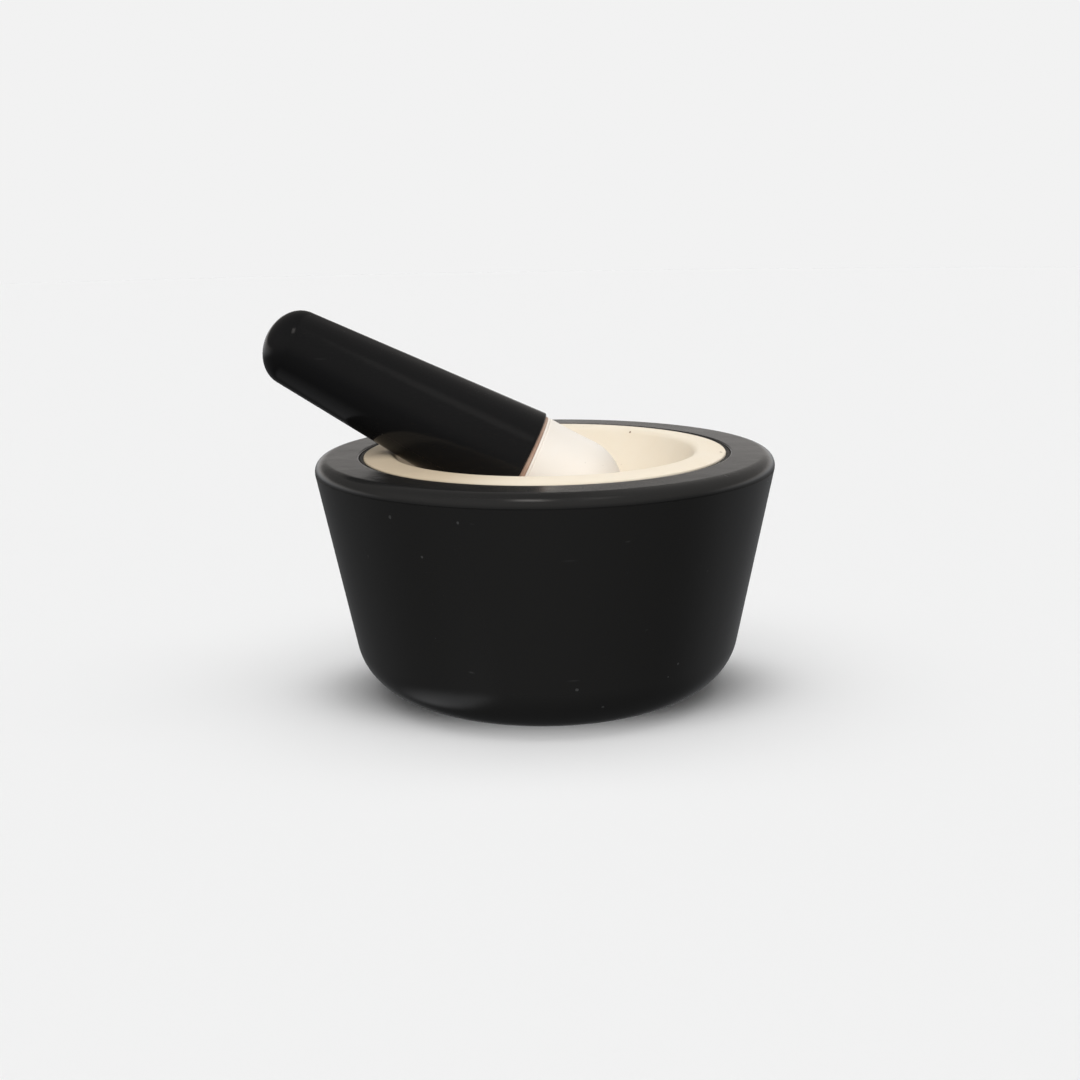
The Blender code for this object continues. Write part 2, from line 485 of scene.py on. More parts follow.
@dataclass(frozen=True)
class BlackGlaze(Finish):
    """Black glaze with a soft uneven shine, pinholes, and hairline scratches from use."""

    name: str
    slot: Slot
    colour: Colour
    worn_colour: Colour
    roughness: float
    roughness_spread: float
    ripple_scale: float
    ripple_depth: float
    scratch_density: float
    speck_density: float
    specular: float
    marks: tuple[Mark, ...] = ()
    scratch_share: float = 0.6
    mark_roughness: float = 0.25
    mark_relief: float = 0.4
    grain_scale: float = 2600.0
    grain_relief: float = 0.06

    def wire(self, graph: Graph, shader: bpy.types.Node, place: bpy.types.NodeSocket) -> None:
        """Wire the finish; see Finish.wire."""
        patches = MOTTLE.use(graph, Vector=place, Scale=45.0, Contrast=1.8).outputs[0]
        scratches = SCRATCHES.use(graph, Vector=place, Scale=55.0, Density=self.scratch_density).outputs[0]
        pinholes = SPECKLE.use(graph, Vector=place, Scale=330.0, Size=0.16, Density=self.speck_density)
        scratched = graph.math("MULTIPLY", scratches, self.scratch_share)
        marks = graph.math("MAXIMUM", scratched, pinholes.outputs[0])
        marks = marked(graph, place, marks, self.marks)
        graph.feed(shader.inputs["Base Color"], graph.blend(marks, self.colour, self.worn_colour))
        low = self.roughness - self.roughness_spread
        high = self.roughness + self.roughness_spread
        sheen = graph.span(patches, 0.0, 1.0, low, high, smooth=False)
        roughened = graph.math("MULTIPLY", marks, self.mark_roughness)
        graph.feed(shader.inputs["Roughness"], graph.math("ADD", sheen, roughened))
        ripple = graph.noise(place, self.ripple_scale, detail=2.0)
        grain = graph.noise(place, self.grain_scale, detail=1.0)
        relief = graph.math("ADD", ripple, graph.math("MULTIPLY", grain, self.grain_relief))
        sunk = graph.math("MULTIPLY", marks, self.mark_relief)
        bump(graph, shader, graph.math("SUBTRACT", relief, sunk), self.ripple_depth)
        shader.inputs["IOR"].default_value = 1.5
        shader.inputs["Specular IOR Level"].default_value = self.specular


@dataclass(frozen=True)
class Bisque(Finish):
    """Unglazed cream clay: fine tooth, faint warm clouds, a few iron specks, and, where one is given, a
    soft tan patch of painted shade.
    """

    name: str
    slot: Slot
    colour: Colour
    warm_colour: Colour
    speck_colour: Colour
    roughness: float
    marks: tuple[Mark, ...] = ()
    # A soft tan patch of painted shade, for the pestle's shadow on the lip: its place and size, colour,
    # core share and strength.
    painted_shade: Mark | None = None
    stain_and_shade_colour: Colour = (0.58, 0.475, 0.34)
    painted_shade_core: float = 0.45
    painted_shade_strength: float = 0.95
    cloud_share: float = 0.55
    dust_share: float = 0.16
    roughness_spread: float = 0.12
    tooth_scale: float = 1500.0
    tooth_relief: float = 0.25
    relief_depth: float = 0.12 * MM

    def wire(self, graph: Graph, shader: bpy.types.Node, place: bpy.types.NodeSocket) -> None:
        """Wire the finish; see Finish.wire."""
        clouds = MOTTLE.use(graph, Vector=place, Scale=38.0, Contrast=2.2).outputs[0]
        clay = graph.blend(graph.math("MULTIPLY", clouds, self.cloud_share), self.colour, self.warm_colour)
        # Painted shade: the clay turns tan towards the patch's place and fades out at its size.
        if self.painted_shade is not None:
            away = graph.add(
                "ShaderNodeVectorMath",
                {0: place, 1: self.painted_shade.place()},
                operation="DISTANCE",
            )
            edge = self.painted_shade.size
            core = edge * self.painted_shade_core
            share = graph.span(away.outputs["Value"], core, edge, self.painted_shade_strength, 0.0)
            clay = graph.blend(share, clay, self.stain_and_shade_colour)
        specks = SPECKLE.use(graph, Vector=place, Scale=150.0, Size=0.055, Density=0.05).outputs[0]
        dust = SPECKLE.use(graph, Vector=place, Scale=700.0, Size=0.2, Density=0.05).outputs[0]
        marks = graph.math("MAXIMUM", specks, graph.math("MULTIPLY", dust, self.dust_share))
        marks = marked(graph, place, marks, self.marks)
        graph.feed(shader.inputs["Base Color"], graph.blend(marks, clay, self.speck_colour))
        tooth = graph.noise(place, self.tooth_scale, detail=3.0, roughness=0.65)
        low = self.roughness - 0.05
        high = low + self.roughness_spread
        graph.feed(shader.inputs["Roughness"], graph.span(tooth, *NOISE_RANGE, low, high))
        swell = graph.noise(place, 90.0, detail=1.0)
        relief = graph.math("ADD", graph.math("MULTIPLY", tooth, self.tooth_relief), swell)
        bump(graph, shader, relief, self.relief_depth)
        shader.inputs["IOR"].default_value = 1.48


@dataclass(frozen=True)
class JointCement(Finish):
    """Brown cement squeezed out between head and handle, paler where it is rubbed."""

    name: str
    slot: Slot
    colour: Colour
    pale_colour: Colour
    grit_depth: float = 0.2 * MM

    def wire(self, graph: Graph, shader: bpy.types.Node, place: bpy.types.NodeSocket) -> None:
        """Wire the finish; see Finish.wire."""
        clouds = MOTTLE.use(graph, Vector=place, Scale=160.0, Contrast=3.0).outputs[0]
        graph.feed(shader.inputs["Base Color"], graph.blend(clouds, self.colour, self.pale_colour))
        grit = graph.noise(place, 1800.0, detail=3.0, roughness=0.7)
        graph.feed(shader.inputs["Roughness"], graph.span(grit, *NOISE_RANGE, 0.6, 0.9))
        bump(graph, shader, grit, self.grit_depth)


@dataclass(frozen=True)
class Mastic(Finish):
    """Soft dark filling: sealant, or pad rubber where it is rougher."""

    name: str
    slot: Slot
    colour: Colour
    dusty_colour: Colour
    roughness: float
    grain_scale: float
    grain_depth: float = 0.1 * MM
    roughness_spread: float = 0.08

    def wire(self, graph: Graph, shader: bpy.types.Node, place: bpy.types.NodeSocket) -> None:
        """Wire the finish; see Finish.wire."""
        dust = MOTTLE.use(graph, Vector=place, Scale=120.0, Contrast=2.4).outputs[0]
        graph.feed(shader.inputs["Base Color"], graph.blend(dust, self.colour, self.dusty_colour))
        grain = graph.noise(place, self.grain_scale, detail=2.0)
        low = self.roughness - self.roughness_spread
        high = self.roughness + self.roughness_spread
        graph.feed(shader.inputs["Roughness"], graph.span(grain, *NOISE_RANGE, low, high))
        bump(graph, shader, grain, self.grain_depth)


@dataclass(frozen=True)
class Cement(Finish):
    """Grey bedding cement with sand in it."""

    name: str
    slot: Slot
    colour: Colour
    sand_colour: Colour
    sand_depth: float = 0.2 * MM

    def wire(self, graph: Graph, shader: bpy.types.Node, place: bpy.types.NodeSocket) -> None:
        """Wire the finish; see Finish.wire."""
        sand = SPECKLE.use(graph, Vector=place, Scale=900.0, Size=0.4, Density=0.35).outputs[0]
        clouds = MOTTLE.use(graph, Vector=place, Scale=80.0, Contrast=2.0).outputs[0]
        marks = graph.math("MULTIPLY", graph.math("ADD", sand, clouds), 0.5)
        graph.feed(shader.inputs["Base Color"], graph.blend(marks, self.colour, self.sand_colour))
        graph.feed(shader.inputs["Roughness"], graph.span(clouds, 0.0, 1.0, 0.85, 0.95))
        bump(graph, shader, sand, self.sand_depth)


@dataclass(frozen=True)
class TurnedSteel(Finish):
    """Steel bar with a fine tooth from the lathe, and a faint stain."""

    name: str
    slot: Slot
    colour: Colour
    stain_and_shade_colour: Colour
    tooth_depth: float = 0.05 * MM

    def wire(self, graph: Graph, shader: bpy.types.Node, place: bpy.types.NodeSocket) -> None:
        """Wire the finish; see Finish.wire."""
        clouds = MOTTLE.use(graph, Vector=place, Scale=110.0, Contrast=2.0).outputs[0]
        graph.feed(shader.inputs["Base Color"], graph.blend(clouds, self.colour, self.stain_and_shade_colour))
        tooth = graph.noise(place, 2200.0, detail=1.0)
        graph.feed(shader.inputs["Roughness"], graph.span(tooth, *NOISE_RANGE, 0.28, 0.42))
        bump(graph, shader, tooth, self.tooth_depth)
        shader.inputs["Metallic"].default_value = 1.0


BODY_GLAZE = BlackGlaze(
    name="satin_black_glaze",
    slot=Slot.BODY_GLAZE,
    colour=(0.0152, 0.0150, 0.0146),
    worn_colour=(0.055, 0.055, 0.055),
    roughness=0.2,
    roughness_spread=0.03,
    ripple_scale=120.0,
    ripple_depth=0.05 * MM,
    scratch_density=0.03,
    speck_density=0.012,
    specular=0.5,
    marks=(
        Mark(-127.3, 74.1 * MM, 69.6 * MM, 0.6 * MM),
        Mark(-82.4, 64.3 * MM, 17.6 * MM, 0.6 * MM),
        Mark(-74.8, 62.2 * MM, 10.7 * MM, 0.5 * MM),
        Mark(-109.4, 74.2 * MM, 69.9 * MM, 0.45 * MM),
        Mark(-119.8, 72.0 * MM, 58.4 * MM, 0.45 * MM),
    ),
)
HANDLE_GLAZE = BlackGlaze(
    name="gloss_black_glaze",
    slot=Slot.HANDLE_GLAZE,
    colour=(0.0080, 0.0080, 0.0083),
    worn_colour=(0.03, 0.03, 0.031),
    roughness=0.13,
    roughness_spread=0.03,
    ripple_scale=85.0,
    ripple_depth=0.12 * MM,
    scratch_density=0.04,
    speck_density=0.01,
    specular=0.16,
)
BOWL_BISQUE = Bisque(
    name="cream_bowl_bisque",
    slot=Slot.CREAM_BISQUE,
    colour=(0.845, 0.765, 0.635),
    warm_colour=(0.81, 0.69, 0.52),
    speck_colour=(0.20, 0.12, 0.07),
    roughness=0.52,
    marks=(
        Mark(51.4, 49.3 * MM, 78.2 * MM, 0.5 * MM),
        Mark(-10.6, 57.8 * MM, 78.9 * MM, 0.6 * MM),
    ),
    # Painted shade: a tan patch on the near-left lip, where the pestle's shadow falls.
    painted_shade=Mark(-153.0, 56.0 * MM, 79.0 * MM, 60.0 * MM),
)
HEAD_BISQUE = Bisque(
    name="cream_head_bisque",
    slot=Slot.CREAM_BISQUE,
    colour=(0.89, 0.845, 0.785),
    warm_colour=(0.87, 0.79, 0.69),
    speck_colour=(0.25, 0.17, 0.12),
    roughness=0.5,
)
BROWN_CEMENT = JointCement(
    name="brown_joint_cement",
    slot=Slot.JOINT_CEMENT,
    colour=(0.42, 0.27, 0.205),
    pale_colour=(0.56, 0.41, 0.32),
)
SEALANT = Mastic(
    name="dark_seam_sealant",
    slot=Slot.SEALANT,
    colour=(0.012, 0.0115, 0.011),
    dusty_colour=(0.03, 0.028, 0.025),
    roughness=0.5,
    grain_scale=900.0,
)
PAD_RUBBER = Mastic(
    name="pad_rubber_black",
    slot=Slot.PAD_RUBBER,
    colour=(0.022, 0.022, 0.022),
    dusty_colour=(0.05, 0.048, 0.045),
    roughness=0.82,
    grain_scale=2400.0,
)
BEDDING = Cement(
    name="grey_bedding_cement",
    slot=Slot.BEDDING,
    colour=(0.38, 0.37, 0.35),
    sand_colour=(0.55, 0.53, 0.49),
)
STEEL = TurnedSteel(
    name="turned_steel",
    slot=Slot.STEEL,
    colour=(0.58, 0.57, 0.55),
    stain_and_shade_colour=(0.42, 0.40, 0.38),
)


# ---------------------------------------------------------------------------------------------------
# Lathe
# ---------------------------------------------------------------------------------------------------


def placed(name: str, shape: bmesh.types.BMesh) -> bpy.types.Object:
    """Make a shape an object of the scene, at the origin, and free the shape.

    Args:
        name: The object's name.
        shape: The shape, with its place in its vertices.

    Returns:
        The new object.
    """
    mesh = bpy.data.meshes.new(name)
    shape.to_mesh(mesh)
    shape.free()
    made = bpy.data.objects.new(name, mesh)
    bpy.context.scene.collection.objects.link(made)
    return made


class Lathe:
    """Draws an outline in the half-plane X >= 0, Y = 0, and turns it about Z into a closed shape."""

    HOLD = 0.25 * MM  # loops kept this close to a straight stretch's ends hold its shading flat
    MERGE = 0.002 * MM

    def __init__(self, radius: float, height: float) -> None:
        """Put the pen down.

        Args:
            radius: The first point's distance from the axis.
            height: Its height.
        """
        self.shape = bmesh.new()
        self.pen = self.shape.verts.new((radius, 0.0, height))
        self.start = self.pen

    def draw(self, radius: float, height: float) -> None:
        """Extrude the pen's vertex to a point."""
        grown = bmesh.ops.extrude_vert_indiv(self.shape, verts=[self.pen])
        self.pen = grown["verts"][0]
        self.pen.co = (radius, 0.0, height)

    def line(self, radius: float, height: float) -> "Lathe":
        """Draw a straight stretch, with a loop near each end.

        Args:
            radius: The end's distance from the axis.
            height: The end's height.

        Returns:
            The lathe.
        """
        begin = self.pen.co.copy()
        end = Vector((radius, 0.0, height))
        length = (end - begin).length
        if length > 3 * self.HOLD:
            for share in (self.HOLD / length, 1.0 - self.HOLD / length):
                point = begin.lerp(end, share)
                self.draw(point.x, point.z)
        self.draw(radius, height)
        return self

    def arc(self, centre: tuple[float, float], degrees: float, steps: int, depth: float = 1.0) -> "Lathe":
        """Draw an arc from the pen.

        Args:
            centre: Its centre's distance from the axis and height.
            degrees: How far it goes, from +X towards +Z where positive.
            steps: Into how many edges.
            depth: Its height as a share of a circle's.

        Returns:
            The lathe.
        """
        middle = Vector((centre[0], 0.0, centre[1]))
        self.pen.co.z = middle.z + (self.pen.co.z - middle.z) / depth
        known = set(self.shape.verts)
        spun = bmesh.ops.spin(
            self.shape,
            geom=[self.pen],
            cent=middle,
            axis=(0.0, -1.0, 0.0),
            angle=math.radians(degrees),
            steps=steps,
        )
        drawn = [v for v in self.shape.verts if v not in known]
        last = next(v for v in spun["geom_last"] if isinstance(v, bmesh.types.BMVert))
        bmesh.ops.scale(
            self.shape,
            vec=(1.0, 1.0, depth),
            space=Matrix.Translation(-middle),
            verts=[self.pen, *drawn],
        )
        self.pen = last
        return self

    def close(self) -> "Lathe":
        """Join the pen to the first point, for an outline that doesn't reach the axis."""
        self.shape.edges.new((self.pen, self.start))
        return self

    def turn(self, name: str, sides: int, sharp: float = 38.0) -> bpy.types.Object:
        """Turn the outline into a piece.

        Args:
            name: The piece's name.
            sides: How many steps the full turn has.
            sharp: The angle between faces, in degrees, above which an edge stays crisp.

        Returns:
            The new object, at the origin.
        """
        bmesh.ops.spin(
            self.shape,
            geom=[*self.shape.verts, *self.shape.edges],
            cent=(0.0, 0.0, 0.0),
            axis=(0.0, 0.0, 1.0),
            angle=math.tau,
            steps=sides,
            use_merge=True,
        )
        bmesh.ops.remove_doubles(self.shape, verts=self.shape.verts, dist=self.MERGE)
        bmesh.ops.recalc_face_normals(self.shape, faces=self.shape.faces)
        piece = placed(name, self.shape)
        piece.data.shade_smooth()
        piece.data.set_sharp_from_angle(angle=math.radians(sharp))
        return piece


def settle(piece: bpy.types.Object, body: Body, finish: Finish, *nodes: str) -> bpy.types.Object:
    """Dress a new piece, seat it on its body, and let it stand for its plain nodes.

    Args:
        piece: The new piece, with its place in its mesh.
        body: The body it moves with.
        finish: What it wears.
        *nodes: The CAD nodes that it stands for.

    Returns:
        The piece.
    """
    finish.dress(piece)
    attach(piece, body.value)
    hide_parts(*nodes)
    LOG.info("%s: %d faces, %s", piece.name, len(piece.data.polygons), finish.name)
    return piece


# ---------------------------------------------------------------------------------------------------
# Mortar
# ---------------------------------------------------------------------------------------------------


@dataclass
class Mortar:
    """The black body, the cream bowl fitted into it, and what lies between and under them."""

    sides: int = 288
    rim_roll: float = 3.95 * MM
    groove_depth: float = 0.3 * MM
    groove_height: float = 0.5 * MM
    rim_inner_round: float = 0.5 * MM
    wall_draft: float = 10.7
    foot_corner: float = 19.5 * MM
    foot_radius: float = 44.9 * MM
    recess_edge: float = 0.4 * MM
    gap: float = 0.3 * MM
    liner_wall: float = 5.5 * MM
    bed_thickness: float = 1.4 * MM
    bowl_bottom: float = 46.6 * MM
    crest_radius: float = 51.5 * MM
    lip_inner_roll: float = 3.0 * MM
    lip_outer_slope: float = 12.0
    lip_corner: float = 0.6 * MM
    collar_foot_round: float = 0.8 * MM
    seal_crown: float = 0.35 * MM
    seal_clearance: float = 0.3
    pad_sides: int = 160
    pad_ribs: int = 9
    pad_rib_depth: float = 0.35 * MM
    pad_edge: float = 0.5 * MM

    def __post_init__(self) -> None:
        """Read the places that the frame gives."""
        body_low, body_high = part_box("mortar_body")
        liner_low, liner_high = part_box("bowl_liner")
        self.rim_radius = body_high.x
        self.rim_height = body_high.z
        self.foot_height = body_low.z
        self.crest = liner_high.z
        self.collar_radius = liner_high.x
        self.roll_height = self.crest - self.lip_inner_roll
        rise = self.roll_height - self.bowl_bottom
        reach = self.crest_radius**2 + rise**2 - self.lip_inner_roll**2
        self.bowl_radius = reach / (2 * (rise + self.lip_inner_roll))
        self.bowl_centre = self.bowl_bottom + self.bowl_radius
        self.seal_low, self.seal_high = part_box("liner_seal")
        self.pad_low, self.pad_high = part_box("foot_pad")

    def bowl_angle(self, radius: float, height: float) -> float:
        """Degrees from straight down at which a sphere about the bowl's centre reaches a height."""
        return math.degrees(math.acos((self.bowl_centre - height) / radius))

    def body(self) -> bpy.types.Object:
        """The black body."""
        pad_radius = self.pad_high.x + self.gap
        recess_roof = self.pad_high.z + self.gap
        bore = self.seal_high.x + self.gap
        ledge = self.seal_low.z - self.gap
        hollow = self.bowl_radius + self.liner_wall + 2 * self.gap + self.bed_thickness
        roll_centre = (self.rim_radius - self.rim_roll, self.rim_height - self.rim_roll)
        corner_centre = (self.foot_radius, self.foot_height + self.foot_corner)
        draft = math.radians(self.wall_draft)
        wall_foot = Vector((
            corner_centre[0] + self.foot_corner * math.cos(draft),
            corner_centre[1] - self.foot_corner * math.sin(draft),
        ))
        wall_top = roll_centre[1] - self.groove_height
        wall_radius = wall_foot.x + (wall_top - wall_foot.y) * math.tan(draft)
        lathe = Lathe(0.0, recess_roof)
        lathe.line(pad_radius, recess_roof)
        lathe.line(pad_radius, self.foot_height + self.recess_edge)
        lathe.line(pad_radius + self.recess_edge, self.foot_height)
        lathe.line(self.foot_radius, self.foot_height)
        lathe.arc(corner_centre, 90.0 - self.wall_draft, 22)
        lathe.line(wall_radius, wall_top)
        lathe.draw(self.rim_radius - self.groove_depth, wall_top)
        lathe.draw(self.rim_radius - self.groove_depth, roll_centre[1])
        lathe.draw(self.rim_radius, roll_centre[1])
        lathe.arc(roll_centre, 90.0, 20)
        lathe.line(bore + self.rim_inner_round, self.rim_height)
        lathe.arc((bore + self.rim_inner_round, self.rim_height - self.rim_inner_round), 90.0, 6)
        lathe.line(bore, ledge)
        reach = self.bowl_angle(hollow, ledge)
        lathe.line(hollow * math.sin(math.radians(reach)), ledge)
        lathe.arc((0.0, self.bowl_centre), -reach, 16)
        return settle(lathe.turn("mortar_body_glazed", self.sides), Body.MORTAR, BODY_GLAZE, "mortar_body")

    def liner(self) -> bpy.types.Object:
        """The cream bowl, with its broad lip."""
        outside = self.bowl_radius + self.liner_wall
        seat = self.seal_low.z
        tangent = math.degrees(math.asin(self.crest_radius / (self.bowl_radius + self.lip_inner_roll)))
        slope = math.radians(self.lip_outer_slope)
        corner_radius = self.collar_radius - self.lip_corner
        crown = (corner_radius + self.lip_corner * math.sin(slope) - self.crest_radius) / math.sin(slope)
        lip_edge = self.crest - crown * (1.0 - math.cos(slope))
        corner_height = lip_edge - self.lip_corner * math.cos(slope)
        lathe = Lathe(0.0, self.bowl_centre - outside)
        lathe.arc((0.0, self.bowl_centre), self.bowl_angle(outside, seat), 20)
        lathe.line(self.collar_radius - self.collar_foot_round, seat)
        lathe.arc((self.collar_radius - self.collar_foot_round, seat + self.collar_foot_round), 90.0, 4)
        lathe.line(self.collar_radius, corner_height)
        lathe.arc((corner_radius, corner_height), 90.0 - self.lip_outer_slope, 8)
        lathe.arc((self.crest_radius, self.crest - crown), self.lip_outer_slope, 10)
        lathe.arc((self.crest_radius, self.roll_height), tangent, 14)
        lathe.arc((0.0, self.bowl_centre), -tangent, 44)
        return settle(lathe.turn("bowl_liner_bisque", self.sides), Body.MORTAR, BOWL_BISQUE, "bowl_liner")

    def seal(self) -> bpy.types.Object:
        """The dark bead in the seam, a little crowned."""
        inner = self.collar_radius + self.gap * self.seal_clearance
        outer = self.seal_high.x + self.gap * (1.0 - self.seal_clearance)
        half = (outer - inner) / 2
        side = self.seal_high.z - self.seal_crown
        lathe = Lathe(inner, self.seal_low.z)
        lathe.line(outer, self.seal_low.z)
        lathe.line(outer, side)
        lathe.arc((inner + half, side), 180.0, 10, depth=self.seal_crown / half)
        lathe.close()
        return settle(lathe.turn("liner_seal_bead", self.sides), Body.MORTAR, SEALANT, "liner_seal")

    def pad(self) -> bpy.types.Object:
        """The non-slip disc, with ribs moulded round its underside."""
        radius = self.pad_high.x
        pitch = (radius - self.pad_edge) / (self.pad_ribs + 1)
        lathe = Lathe(0.0, self.pad_low.z)
        for rib in range(1, self.pad_ribs + 1):
            groove = rib * pitch
            lathe.line(groove - self.pad_rib_depth, self.pad_low.z)
            lathe.arc((groove, self.pad_low.z), -180.0, 6)
        lathe.line(radius - self.pad_edge, self.pad_low.z)
        lathe.arc((radius - self.pad_edge, self.pad_low.z + self.pad_edge), 90.0, 4)
        lathe.line(radius, self.pad_high.z)
        lathe.line(0.0, self.pad_high.z)
        return settle(lathe.turn("foot_pad_ribbed", self.pad_sides), Body.MORTAR, PAD_RUBBER, "foot_pad")

    def build(self) -> None:
        """Make every piece of the mortar."""
        self.body()
        self.liner()
        self.seal()
        self.pad()
        BEDDING.dress(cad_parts["liner_bed"])


# ---------------------------------------------------------------------------------------------------
# Pestle
# ---------------------------------------------------------------------------------------------------


@dataclass
class Pestle:
    """The pestle, turned about Z with its nose centre at the origin, then laid in the bowl."""

    sides: int = 224
    centre: Vector = field(default_factory=lambda: Vector((7.96, -2.91, 65.82)) * MM)
    slope: float = 28.55
    nose_radius: float = 17.75 * MM
    waist: float = 0.15 * MM
    shoulder: float = 0.9 * MM
    joint_plane: float = 18.1 * MM
    ring_thickness: float = 1.1 * MM
    ring_radius: float = 17.7 * MM
    ring_lean: float = 0.042
    ring_face: float = 0.05 * MM
    ring_round: float = 0.25 * MM
    bead: float = 0.55 * MM
    bead_groove: float = 0.14 * MM
    bead_groove_width: float = 1.6
    bead_flank: float = 0.86
    gap: float = 0.3 * MM
    handle_length: float = 91.8 * MM
    handle_wide: float = 18.6 * MM
    handle_narrow: float = 12.5 * MM
    handle_end_round: float = 0.6 * MM
    butt_depth: float = 9.9 * MM
    stud_hole: float = 4.3 * MM
    stud_in_head: float = 14.0 * MM
    stud_in_handle: float = 22.0 * MM

    def __post_init__(self) -> None:
        """Work out where the head and the ring meet."""
        self.head_top = self.joint_plane - self.ring_thickness - 2 * self.gap
        self.ring_low = self.head_top + self.ring_face
        self.ring_high = self.joint_plane - self.ring_face

    def lay(self, piece: bpy.types.Object) -> bpy.types.Object:
        """Carry a turned piece's mesh into its place in the bowl.

        Args:
            piece: A piece turned about Z.

        Returns:
            The same piece.
        """
        tilt = Euler((0.0, math.radians(self.slope - 90.0), 0.0)).to_matrix().to_4x4()
        piece.data.transform(Matrix.Translation(self.centre) @ tilt)
        return piece

    def lean(self, piece: bpy.types.Object, still: float, full: float) -> bpy.types.Object:
        """Slant a piece's end, so that the ring between head and handle is widest on its underside.

        Args:
            piece: A piece turned about Z.
            still: Height at which the slant starts.
            full: Height from which on it is full.

        Returns:
            The same piece.
        """
        for vertex in piece.data.vertices:
            share = min(max((vertex.co.z - still) / (full - still), 0.0), 1.0)
            vertex.co.z += share * self.ring_lean * vertex.co.x
        return piece

    def head(self) -> bpy.types.Object:
        """The cream grinding head: a round nose, a faint waist, and a bead at the joint."""
        top = self.head_top
        bead_low = top - 2 * self.bead
        waist_top = bead_low - self.bead_groove
        bow = (waist_top / 2) ** 2 / (2 * self.waist) + self.waist / 2
        half = math.degrees(math.asin(waist_top / 2 / bow))
        bow_centre = (self.nose_radius - self.waist + bow, waist_top / 2)
        bead_radius = self.nose_radius - self.bead
        lathe = Lathe(0.0, -self.nose_radius)
        lathe.arc((0.0, 0.0), 90.0, 36)
        lathe.arc(bow_centre, -2 * half, 8)
        groove_floor = self.nose_radius - self.bead_groove_width * self.bead_groove
        lathe.draw(groove_floor, waist_top + self.bead_groove)
        lathe.draw(bead_radius + self.bead * self.bead_flank, bead_low + self.bead / 2)
        lathe.draw(self.nose_radius, bead_low + self.bead)
        lathe.arc((bead_radius, top - self.bead), 90.0, 8)
        lathe.line(self.stud_hole, top)
        lathe.line(self.stud_hole, top - self.stud_in_head)
        lathe.line(0.0, top - self.stud_in_head)
        piece = lathe.turn("pestle_head_bisque", self.sides)
        self.lean(piece, 0.0, waist_top)
        return settle(self.lay(piece), Body.PESTLE, HEAD_BISQUE, "pestle_head")

    def ring(self) -> bpy.types.Object:
        """The brown ring of cement between head and handle, a wedge that is widest underneath."""
        side = self.ring_radius - self.ring_round
        lathe = Lathe(self.stud_hole, self.ring_low)
        lathe.line(side, self.ring_low)
        lathe.arc((side, self.ring_low + self.ring_round), 90.0, 5)
        lathe.line(self.ring_radius, self.ring_high - self.ring_round)
        lathe.arc((side, self.ring_high - self.ring_round), 90.0, 5)
        lathe.line(self.stud_hole, self.ring_high)
        lathe.close()
        piece = lathe.turn("pestle_joint_cement", self.sides)
        self.lean(piece, self.ring_high, self.ring_low)
        return settle(self.lay(piece), Body.PESTLE, BROWN_CEMENT, "pestle_joint_ring")

    def handle(self) -> bpy.types.Object:
        """The gloss black handle, from its joint face to its domed butt."""
        butt = self.joint_plane + self.handle_length - self.butt_depth
        flank = butt - self.joint_plane
        taper = (self.handle_wide - self.handle_narrow) / flank
        depth = self.butt_depth / self.handle_narrow
        onset = math.atan(taper * depth)
        dome_radius = self.handle_narrow / math.cos(onset)
        end = self.handle_end_round
        lathe = Lathe(0.0, self.joint_plane + self.stud_in_handle)
        lathe.line(self.stud_hole, self.joint_plane + self.stud_in_handle)
        lathe.line(self.stud_hole, self.joint_plane)
        lathe.line(self.handle_wide - end, self.joint_plane)
        corner = (self.handle_wide - end, self.joint_plane + end)
        lathe.arc(corner, 90.0 + math.degrees(math.atan(taper)), 8)
        lathe.line(self.handle_narrow, butt)
        dome_centre = butt - dome_radius * math.sin(onset) * depth
        lathe.arc((0.0, dome_centre), 90.0 - math.degrees(onset), 40, depth=depth)
        piece = lathe.turn("pestle_handle_glazed", self.sides)
        return settle(self.lay(piece), Body.PESTLE, HANDLE_GLAZE, "pestle_handle")

    def build(self) -> None:
        """Make every piece of the pestle."""
        self.head()
        self.ring()
        self.handle()
        STEEL.dress(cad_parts["pestle_stud"])


# ---------------------------------------------------------------------------------------------------
# Studio
# ---------------------------------------------------------------------------------------------------


class Falls(Enum):
    """What a lamp's light falls on."""

    FLOOR = "INCLUDE"
    OBJECT = "EXCLUDE"


@dataclass(frozen=True)
class Lamp:
    """A broad distant light. It isn't mirrored in the gloss."""

    name: str
    falls: Falls
    strength: float
    spread: float
    towards: tuple[float, float, float]

    def build(self, floor: bpy.types.Object, card: bpy.types.Object) -> None:
        """Hang the lamp.

        Args:
            floor: The floor, which the light falls on alone, or misses.
            card: What alone shades the floor, and shades nothing else.
        """
        light = bpy.data.lights.new(self.name, "SUN")
        light.energy = self.strength * math.pi
        light.angle = math.radians(self.spread)
        lamp = bpy.data.objects.new(self.name, light)
        lamp.rotation_euler = Vector(self.towards).to_track_quat("-Z", "Y").to_euler()
        lamp.visible_glossy = False
        bpy.context.scene.collection.objects.link(lamp)
        lamp.light_linking.receiver_collection = self.group("lit", floor)
        lamp.light_linking.blocker_collection = self.group("shading", card)
        for linked in (lamp.light_linking.receiver_collection, lamp.light_linking.blocker_collection):
            linked.collection_objects[0].light_linking.link_state = self.falls.value

    def group(self, use: str, member: bpy.types.Object) -> bpy.types.Collection:
        """A collection of one object, for the lamp's light to be linked by."""
        made = bpy.data.collections.new(f"{self.name}_{use}")
        made.objects.link(member)
        return made


